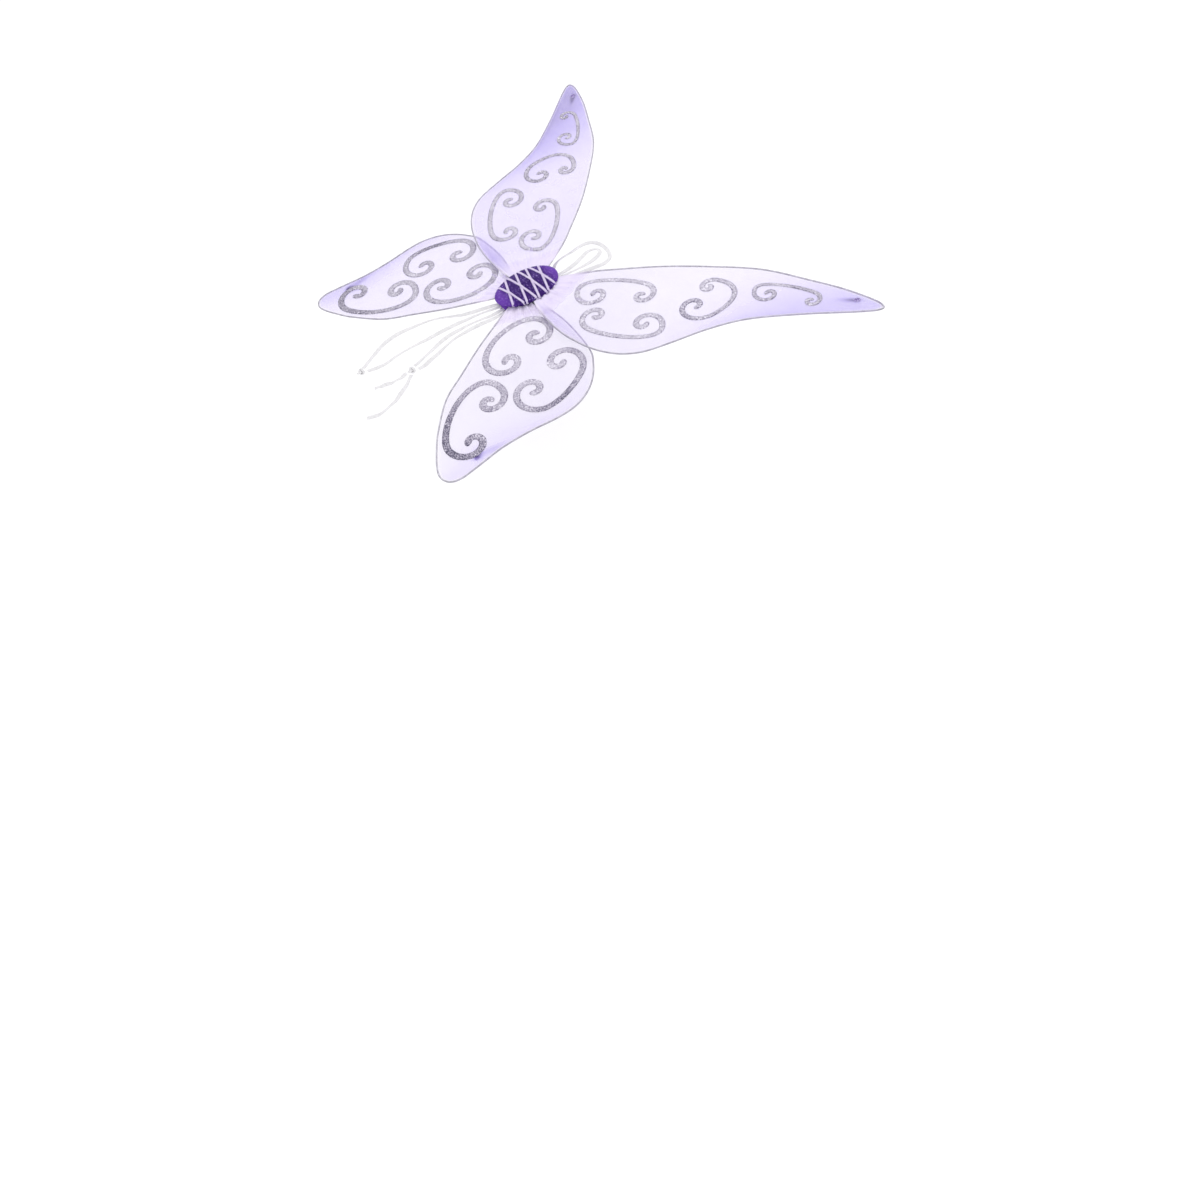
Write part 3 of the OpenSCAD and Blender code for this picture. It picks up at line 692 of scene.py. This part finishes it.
def depth_of(level, side_name, u, v, flat, phase):
    """How deep the lilac is, from 0 where the nylon is stretched thin to 1 where it is bunched.
    On the left wings it is raised by painted shade.
    """
    wing = WINGS[level]
    upper = level == "upper"
    fan = 0.5 + 0.5 * np.sin(TAU * (6.5 * v + 0.8 * np.sin(3 * v + phase)) + phase)
    fine = 0.5 + 0.5 * np.sin(TAU * (15 * v + 0.5 * np.sin(5 * v + 2 * phase)))
    if upper:
        tip = TIP_DEPTH_AND_SIDE_SHADE[side_name] * smoothstep(0.30, 0.90, u + 0.20 * (v - 0.5))
        edge = 0.10 * smoothstep(0.80, 1.0, v) * smoothstep(0.35, 0.7, u)
        root = np.exp(-((u / 0.05) ** 2)) * (0.04 + 0.22 * fan ** 3 + 0.10 * fine)
        crescent = smoothstep(0.74, 0.96, v) * np.exp(-(((u - 0.05) / 0.11) ** 2)) * (0.7 + 0.3 * fine)
        root = root + 0.26 * crescent
    else:
        tip = 0.24 * smoothstep(0.45, 0.95, u + 0.55 * (0.45 - v))
        edge = 0.08 * smoothstep(0.22, 0.0, v) * smoothstep(0.3, 0.7, u)
        root = np.exp(-((u / 0.05) ** 2)) * (0.08 + 0.18 * fan ** 3 + 0.10 * fine)
    pale_end = smoothstep(0.955, 0.985, u) * (0.24 if upper else 0.12)
    g = np.array(wing["gather"], float)
    axis = g / np.linalg.norm(g)
    along = (flat - g) @ axis
    off = (flat - g) @ np.array([-axis[1], axis[0]])
    tail = np.where(along < 0, 16.0 if upper else 12.0, 4.0)
    spot = (0.5 if upper else 0.75) * np.exp(-((along / tail) ** 2) - ((off / (3.2 if upper else 5.5)) ** 2))
    if not upper:
        pull = flat - g - np.array([1.5, 17.0])
        spot = spot + 0.26 * np.exp(-((pull[:, 1] / 17) ** 2) - ((pull[:, 0] - 0.1 * pull[:, 1]) / 5) ** 2)
    # The per-wing base lays painted shade over the left wings.
    return np.clip(SHEER_AND_SIDE_SHADE[level, side_name] + tip + edge + root + spot - pale_end * (1 - spot), 0, 1)


def veil_of(u):
    """Cover of the gathered folds, which hide what lies behind them close to the pad."""
    return 1 - smoothstep(0.0, 0.10, u)


def add_nylon(level, side_name, phase):
    """The nylon sleeve: two layers that meet round the wire, gathered at the root and the tip."""
    wing = WINGS[level]
    side = SIDES[side_name]
    lead, trail, root = nylon_rows(wing)
    count = len(lead)
    inner = np.linspace(0, 1, ACROSS)[1:-1]
    rows, height, depth, veil = [], [], [], []
    border = np.vstack([lead[root:], trail[root:]])
    apart = np.linalg.norm(trail - lead, axis=1)
    body = np.arange(count) - root
    u = np.clip(body / (count - 1 - root), -0.1, 1)
    for i in range(count):
        squeeze = min(1.0, apart[i] / (3.2 * EDGE_STEPS[-1]))
        steps = EDGE_STEPS * squeeze / max(apart[i], 1e-6)
        v = np.concatenate([steps, steps[-1] + inner * (1 - 2 * steps[-1]), 1 - steps[::-1]])
        rise = np.concatenate([EDGE_HEIGHTS, np.full(len(inner), NYLON_REST), EDGE_HEIGHTS[::-1]])
        if apart[i] < 1e-6:
            v = np.linspace(0, 1, len(v))
            rise = rise * 0
        flat = lead[i] + v[:, None] * (trail[i] - lead[i])
        rows.append(flat)
        height.append((rise * (0.3 + 0.7 * squeeze), folds(wing, u[i], v, phase)))
        here = depth_of(level, side_name, u[i], v, flat, phase)
        near = np.sqrt(((flat[:, None] - border[None]) ** 2).sum(2).min(1))
        rim = 1 - smoothstep(2.2, 4.2, near)
        depth.append(here * (1 - 0.4 * rim) - 0.2 * rim)
        veil.append(np.full(len(v), float(veil_of(u[i]))))
    columns = len(rows[0])
    flat = np.vstack(rows)
    rise = np.concatenate([h[0] for h in height])
    fold = np.concatenate([h[1] for h in height])
    top = placed(np.c_[flat, fold + rise], wing, side)
    bottom = placed(np.c_[flat, fold - rise], wing, side)
    faces = grid_faces(count, columns)
    back = [tuple(reversed([k + len(top) for k in f])) for f in faces]
    start = [(j, j + 1, j + 1 + len(top), j + len(top)) for j in range(columns - 1)]
    obj = add_mesh(f"nylon_sleeve_{level}_{side_name}", np.vstack([top, bottom]), faces + back + start,
                   MATERIALS["nylon"])
    for name, values in (("depth", depth), ("veil", veil)):
        attribute = obj.data.attributes.new(name, "FLOAT", "POINT")
        attribute.data.foreach_set("value", np.concatenate(values + values).astype(np.float32))
    face_outwards(obj)
    bend(obj)
    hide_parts(f"nylon_{level}_{side_name}", f"root_gather_{level}_{side_name}")


def bend(obj):
    """Bakes the piece's placement into its mesh."""
    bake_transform(obj)


def add_wire(level, side_name):
    """The wire loop and its two ends, which run on into the pad."""
    wing = WINGS[level]
    line = spline([*wing["stems"][0], *wing["outline"], *wing["stems"][1]], 8)
    path = placed(np.c_[line, np.zeros(len(line))], wing, SIDES[side_name])
    obj = sweep(f"wire_loop_{level}_{side_name}", path, round_section(WIRE_R * MM, 12), MATERIALS["wire"])
    face_outwards(obj)
    bend(obj)
    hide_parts(f"frame_{level}_{side_name}", f"stem_{level}_{side_name}_lead",
                f"stem_{level}_{side_name}_trail")


def tone_of(level, side_name, number, flat, share):
    """How dark the glitter is: darkest by the lower tips and on a few outer bows."""
    if level == "lower":
        tip = 0.85 * smoothstep(-150, -205, flat[:, 1]) + 0.25 * smoothstep(-95, -150, flat[:, 1])
        bow = 0.48 * np.exp(-(((share - 0.52) / 0.13) ** 2)) if number == 2 else 0
        return 0.10 + (0.5 if side_name == "right" else 0.28) * tip + bow
    return 0.08 + (0.24 * smoothstep(1.0, 0.2, share) if number == 3 else 0.12 if number == 4 else 0)


def add_scroll(level, side_name, number, phase):
    """A line of glitter glue with a low rounded top and a slightly ragged edge."""
    wing = WINGS[level]
    scroll = wing["scrolls"][number - 1]
    line = resample(scroll_line(scroll), 260)
    along = length_along(line)
    share = along / along[-1]
    ends = np.minimum(along, along[-1] - along)
    bow = np.exp(-(((share - 0.5) / 0.16) ** 2))
    width = wing["width"] * scroll[8] * (1.17 - 0.15 * bow) * np.sqrt(smoothstep(-2.0, 3.0, ends))
    wobble = 0.16 * np.sin(along * 1.9 + phase) + 0.12 * np.sin(along * 3.7 + 2 * phase)
    d = headings(line)
    across = np.c_[-d[:, 1], d[:, 0]]
    base = NYLON_REST + 0.05
    section = [(-0.5, 0.0), (-0.48, 0.26), (-0.41, 0.46), (-0.27, 0.56), (0.0, 0.6), (0.27, 0.56),
               (0.41, 0.46), (0.48, 0.26), (0.5, 0.0), (0.3, -0.12), (-0.3, -0.12)]
    rings = []
    for k, (x, z) in enumerate(section):
        ragged = wobble * (1 if x > 0 else -0.8) * min(1, abs(x) * 2.4)
        lumps = 0.05 * np.sin(along * 2.6 + k) * (z > 0.3)
        flat = line + across * (x * width + ragged)[:, None]
        rings.append(np.c_[flat, np.full(len(line), base) + z + lumps])
    points = np.stack(rings, 1).reshape(-1, 3)
    m = len(section)
    faces = grid_faces(len(line), m, closed_columns=True)
    faces += [tuple(range(m)), tuple((len(line) - 1) * m + j for j in reversed(range(m)))]
    obj = add_mesh(f"glitter_{level}_{side_name}_{number}", placed(points, wing, SIDES[side_name]), faces,
                   MATERIALS["glitter"])
    rim = np.array([0.16 if abs(x) > 0.35 else 0.0 for x, z in section])
    laid = tone_of(level, side_name, number, line, share) * np.ones(len(line))
    tone = np.clip(laid[:, None] + rim, 0, 1).ravel()
    attribute = obj.data.attributes.new("tone", "FLOAT", "POINT")
    attribute.data.foreach_set("value", tone.astype(np.float32))
    face_outwards(obj)
    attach(obj, f"{level}_{side_name}_wing")
    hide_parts(f"scroll_{level}_{side_name}_{number}")


def add_tip_gather(level, side_name):
    """Pleats drawn together by a few turns of thread: a puckered boss with stitches over it."""
    wing = WINGS[level]
    side = SIDES[side_name]
    g = np.array(wing["gather"], float)
    axis = g / np.linalg.norm(g)
    cross = np.array([-axis[1], axis[0]])
    sign = 1 if level == "upper" else -1
    rings, around = 9, 56
    angle = np.arange(around) * TAU / around
    points = []
    for i in range(rings):
        s = i / (rings - 1)
        pleat = 1 + 0.13 * s * np.sin(8 * angle)
        x = 4.6 * s * pleat * np.cos(angle)
        y = 2.9 * s * pleat * np.sin(angle)
        z = 1.25 * (1 - s * s) ** 0.8 + 0.12 * np.sin(8 * angle) * s * (1 - s) * 4
        flat = g + np.outer(x, axis) + np.outer(y, cross)
        points.append(np.c_[flat, sign * (NYLON_REST + z)])
    points = np.vstack(points)
    faces = grid_faces(rings, around, closed_columns=True)
    last = (rings - 1) * around
    faces.append(tuple(last + j for j in range(around)))
    name = f"{level}_{side_name}"
    boss = add_mesh(f"gathered_boss_{name}", placed(points, wing, side), faces, MATERIALS["thread_pale"])
    face_outwards(boss)
    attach(boss, f"{name}_wing")
    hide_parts(f"tip_gather_{name}")
    for k, lean in enumerate((-28, 8, 40, 84)):
        a = math.radians(lean)
        t = np.linspace(-1, 1, 17)
        reach = 4.2 - 1.2 * abs(math.sin(a))
        line = g + np.outer(t * reach * math.cos(a), axis) + np.outer(t * reach * math.sin(a), cross)
        rise = NYLON_REST + 1.45 * (1 - t ** 2) ** 0.6 + 0.05 * k
        path = placed(np.c_[line, sign * rise], wing, side)
        stitch = sweep(f"gather_stitch_{name}_{k + 1}", path, round_section(0.28 * MM, 7),
                       MATERIALS["thread_mid"])
        face_outwards(stitch)
        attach(stitch, f"{name}_wing")


for index, side_name in enumerate(SIDES):
    for shift, level in enumerate(WINGS):
        phase = 1.7 * index + 0.9 * shift
        add_nylon(level, side_name, phase)
        add_wire(level, side_name)
        add_tip_gather(level, side_name)
        for number in range(1, len(WINGS[level]["scrolls"]) + 1):
            add_scroll(level, side_name, number, phase + number)


# Pad

def lace_ends(over):
    """Ends of the lacing ribbons, each from rim to rim. Over ribbons run from right to left."""
    side = RIGHT if over else LEFT
    ends = []
    for here, there in zip(EYELETS[side], EYELETS[-side][1:]):
        pair = []
        for level, s in ((here - LACE_PAIR, side), (there + LACE_PAIR, -side)):
            pair.append((s * PAD_HALF[0] * math.sqrt(1 - (level / PAD_HALF[1]) ** 2), level))
        ends.append(np.array(pair))
    return ends


def off_laces(flat):
    """Distance of flat points from the nearest lacing ribbon's line, in mm."""
    best = np.full(len(flat), 1e9)
    for a, b in lace_ends(False) + lace_ends(True):
        d = b - a
        t = np.clip(((flat - a) @ d) / (d @ d), 0, 1)
        best = np.minimum(best, np.linalg.norm(flat - a - t[:, None] * d, axis=1))
    return best


COVER_RIM = 15.4
COVER_CROWN = 20.4
COVER_LONGER = 0.05
REAR_SHORTER = 0.045
CHANNEL_TOP = 4.75
CHANNEL_CLEAR = 15.5


def cover_height(flat):
    """Height of the padded cover over the back: a crown that the lacing presses into."""
    s = np.clip(np.linalg.norm(flat / PAD_HALF, axis=1), 0, 1)
    crown = COVER_RIM + (COVER_CROWN - COVER_RIM) * (1 - s ** 2.6) ** 0.62
    press = np.exp(-((off_laces(flat) / 2.3) ** 2)) * (1.0 - 0.8 * s ** 4)
    ripple = 0.16 * np.sin(flat[:, 0] * 0.9 + 2 * np.sin(flat[:, 1] * 0.35))
    return crown - 1.1 * press + ripple * (1 - s ** 2)


def oval_rings(profile, around=144):
    """Rings of an oval solid. Each profile row is a share of the pad's radius, an inset and a height."""
    angle = np.arange(around) * TAU / around
    rings = []
    for share, inset, height in profile:
        half = PAD_HALF * share - inset
        rings.append(np.c_[half[0] * np.cos(angle), half[1] * np.sin(angle), np.full(around, height)])
    return rings, angle


def add_oval(name, rings, material):
    m = len(rings[0])
    points = np.vstack(rings) * MM
    faces = grid_faces(len(rings), m, closed_columns=True)
    last = (len(rings) - 1) * m
    faces += [tuple(range(m)), tuple(last + j for j in reversed(range(m)))]
    obj = add_mesh(name, points, faces, material)
    face_outwards(obj)
    return obj


def add_cover():
    """The padded satin front, with small puckers round its sewn rim."""
    shares = np.concatenate([np.linspace(0.02, 0.9, 34), np.linspace(0.915, 1, 9)])
    rings, angle = oval_rings([(s, 0, 0) for s in shares])
    for share, ring in zip(shares, rings):
        ring[:, 1] *= 1 + COVER_LONGER * smoothstep(-10, -44, ring[:, 1])
        pucker = 0.45 * share ** 10 * (np.abs(np.sin(24 * angle)) - 0.5)
        ring[:, 2] = cover_height(ring[:, :2]) + pucker
    under, _ = oval_rings([(1, -0.15, 14.9), (1, 0.1, 14.4), (1, 1.0, 14.1), (1, 4, 14.05),
                           (1, 12, 14.05)])
    obj = add_oval("pad_cushion_front", rings + under, MATERIALS["satin"])
    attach(obj, "pad")
    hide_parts("pad_cover")


def add_waist():
    """Pleated satin round the foam, between the cover and the rear cushion."""
    rings, angle = oval_rings([(1, 9, 9.2), (1, 4, 9.3), (1, 3.2, 10.4), (1, 3.6, 11.8), (1, 3.2, 13.2),
                               (1, 4, 14.2), (1, 9, 14.3)])
    pleat = 1 + 0.012 * np.sin(60 * angle) + 0.006 * np.sin(97 * angle)
    for ring in rings[1:-1]:
        ring[:, :2] *= pleat[:, None]
    obj = add_oval("pad_waist", rings, MATERIALS["satin"])
    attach(obj, "pad")
    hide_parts("pad_core", "pad_card")


def add_rear_cushion():
    """The rear half of the pad, with a shallow channel under it where the elastic passes."""
    profile = [(1, 30, 2.1), (1, 18, 2.1), (1, 12, 2.1), (1, 6, 2.1), (1, 2.4, 2.15), (1, 1.0, 2.8),
               (1, 0.4, 4.2), (1, 0.3, 5.8), (1, 0.7, 7.4), (1, 2.0, 8.8), (1, 4.5, 9.35), (1, 12, 9.4)]
    rings, angle = oval_rings(profile)
    for k, ring in enumerate(rings):
        ring[:, 1] *= 1 - REAR_SHORTER * smoothstep(-10, -44, ring[:, 1])
        channel = 1 - smoothstep(12.5, 16, np.abs(ring[:, 0]))
        lifted = ring[:, 2] + channel * (CHANNEL_TOP - ring[:, 2])
        ring[:, 2] = np.where(ring[:, 2] < CHANNEL_TOP, lifted, ring[:, 2])
        if 5 <= k <= 9:
            ring[:, :2] *= (1 + 0.004 * np.sin(40 * angle))[:, None]
    obj = add_oval("pad_cushion_rear", rings, MATERIALS["satin"])
    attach(obj, "pad")


def add_felt_back():
    rings, angle = oval_rings([(1, 26, 0.02), (1, 10, 0), (1, 1.2, 0), (1, 0.35, 0.3), (1, 0.1, 0.9),
                               (1, 0.3, 1.6), (1, 1.2, 1.95), (1, 10, 2.0), (1, 26, 2.0)])
    for ring in rings[2:7]:
        ring[:, :2] *= (1 + 0.003 * np.sin(31 * angle) + 0.002 * np.sin(83 * angle))[:, None]
    obj = add_oval("pad_felt_back", rings, MATERIALS["felt"])
    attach(obj, "pad")
    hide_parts("pad_back")


def add_rim_stitches(name, inset, low, high, count):
    """Whip stitches round the pad's edge, each a short leaning arc, with none across the channel."""
    points, faces = [], []
    ring = round_section(0.3 * MM, 6)
    for k in range(count):
        a = TAU * (k + 0.5) / count
        if abs(PAD_HALF[0] * math.cos(a)) < CHANNEL_CLEAR:
            continue
        t = np.linspace(0, 1, 9)
        lean = a + 0.035 * (t - 0.5)
        bulge = 0.55 * np.sin(math.pi * t)
        radius = PAD_HALF[:, None] - inset + bulge
        path = np.c_[radius[0] * np.cos(lean), radius[1] * np.sin(lean), low + (high - low) * t] * MM
        d = headings(path)
        across = np.cross(d, [-math.sin(a), math.cos(a), 0])
        across /= np.linalg.norm(across, axis=1)[:, None]
        up = np.cross(across, d)
        start = len(points)
        for p, x, y in zip(path, across, up):
            points += [p + c[0] * x + c[1] * y for c in ring]
        faces += grid_faces(len(path), len(ring), closed_columns=True, start=start)
        faces.append(tuple(start + j for j in range(len(ring))))
        end = start + (len(path) - 1) * len(ring)
        faces.append(tuple(end + j for j in reversed(range(len(ring)))))
    obj = add_mesh(name, points, faces, MATERIALS["thread"])
    face_outwards(obj)
    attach(obj, "pad")


def add_stays():
    """Folded tape that holds the elastic in its channel at both ends of the pad."""
    for name, y in (("strap_stay_top", 37), ("strap_stay_bottom", -37)):
        t = np.linspace(-13.8, 13.8, 40)
        path = np.c_[t, np.full(40, y), 3.3 + 0.12 * np.sin(t * 1.3)] * MM
        section = ribbon_section(6 * MM, 2.3 * MM, 4, 0.08 * MM)
        obj = sweep(name + "_tape", path, section, MATERIALS["webbing"])
        face_outwards(obj)
        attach(obj, "pad")
        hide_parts(name)


def add_lacing():
    """Satin ribbon crossed over the cover. Each ribbon dips over the rim at its ends."""
    for name, over in (("lacing_under", False), ("lacing_over", True)):
        for k, (a, b) in enumerate(lace_ends(over)):
            t = np.linspace(-0.012, 1.012, 44)
            flat = a + t[:, None] * (b - a)
            inside = np.clip(t, 0.004, 0.996)
            z = cover_height(a + inside[:, None] * (b - a)) + 0.5 * LACE_T + 0.1
            hump = np.exp(-(((t - 0.5) * np.linalg.norm(b - a) / 4.5) ** 2))
            z += (0.95 if over else 0.15) * hump
            z -= 1.6 * smoothstep(0.965, 1.012, np.abs(t - 0.5) + 0.5)
            path = np.c_[flat, z] * MM
            roll = np.radians(7) * np.sin(TAU * t + k)
            section = ribbon_section(LACE_W * MM, LACE_T * MM, 3, 0.03 * MM)
            obj = sweep(f"{name}_ribbon_{k + 1}", path, section, MATERIALS["lace"],
                        strap_frames(path, roll))
            face_outwards(obj)
            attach(obj, "pad")
            if k == 0:
                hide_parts(name)


add_cover()
add_waist()
add_rear_cushion()
add_felt_back()
add_rim_stitches("rim_stitches_back", 0.2, 0.9, 3.6, 84)
add_stays()
add_lacing()


# Stage and light

# Low enough that the lower wings stay over it when they are bent all the way down
FLOOR_Z = -0.165


def add_floor():
    floor = add_mesh("floor", [(-6, -6, 0), (6, -6, 0), (6, 6, 0), (-6, 6, 0)], [(0, 1, 2, 3)],
                     floor_material(), smooth=False)
    floor.location.z = FLOOR_Z


def add_light(name, at, aim, size, power):
    data = bpy.data.lights.new(name, "AREA")
    data.size = size
    data.energy = power
    light = bpy.data.objects.new(name, data)
    light.location = at
    light.rotation_mode = "QUATERNION"
    light.rotation_quaternion = (Vector(aim) - Vector(at)).to_track_quat("-Z", "Y")
    bpy.context.scene.collection.objects.link(light)


def add_world():
    world = bpy.data.worlds.new("studio")
    world.use_nodes = True
    background = world.node_tree.nodes["Background"]
    background.inputs["Color"].default_value = (1, 1, 1, 1)
    background.inputs["Strength"].default_value = 1.0
    bpy.context.scene.world = world


add_floor()
add_world()
add_light("key", (-1.2, 1.0, 2.0), (0, 0, 0), 1.8, 16)
add_light("fill", (1.5, -1.2, 1.6), (0, 0, 0), 2.0, 7)
scene = bpy.context.scene
scene.view_settings.view_transform = "Standard"
scene.cycles.transparent_max_bounces = 24
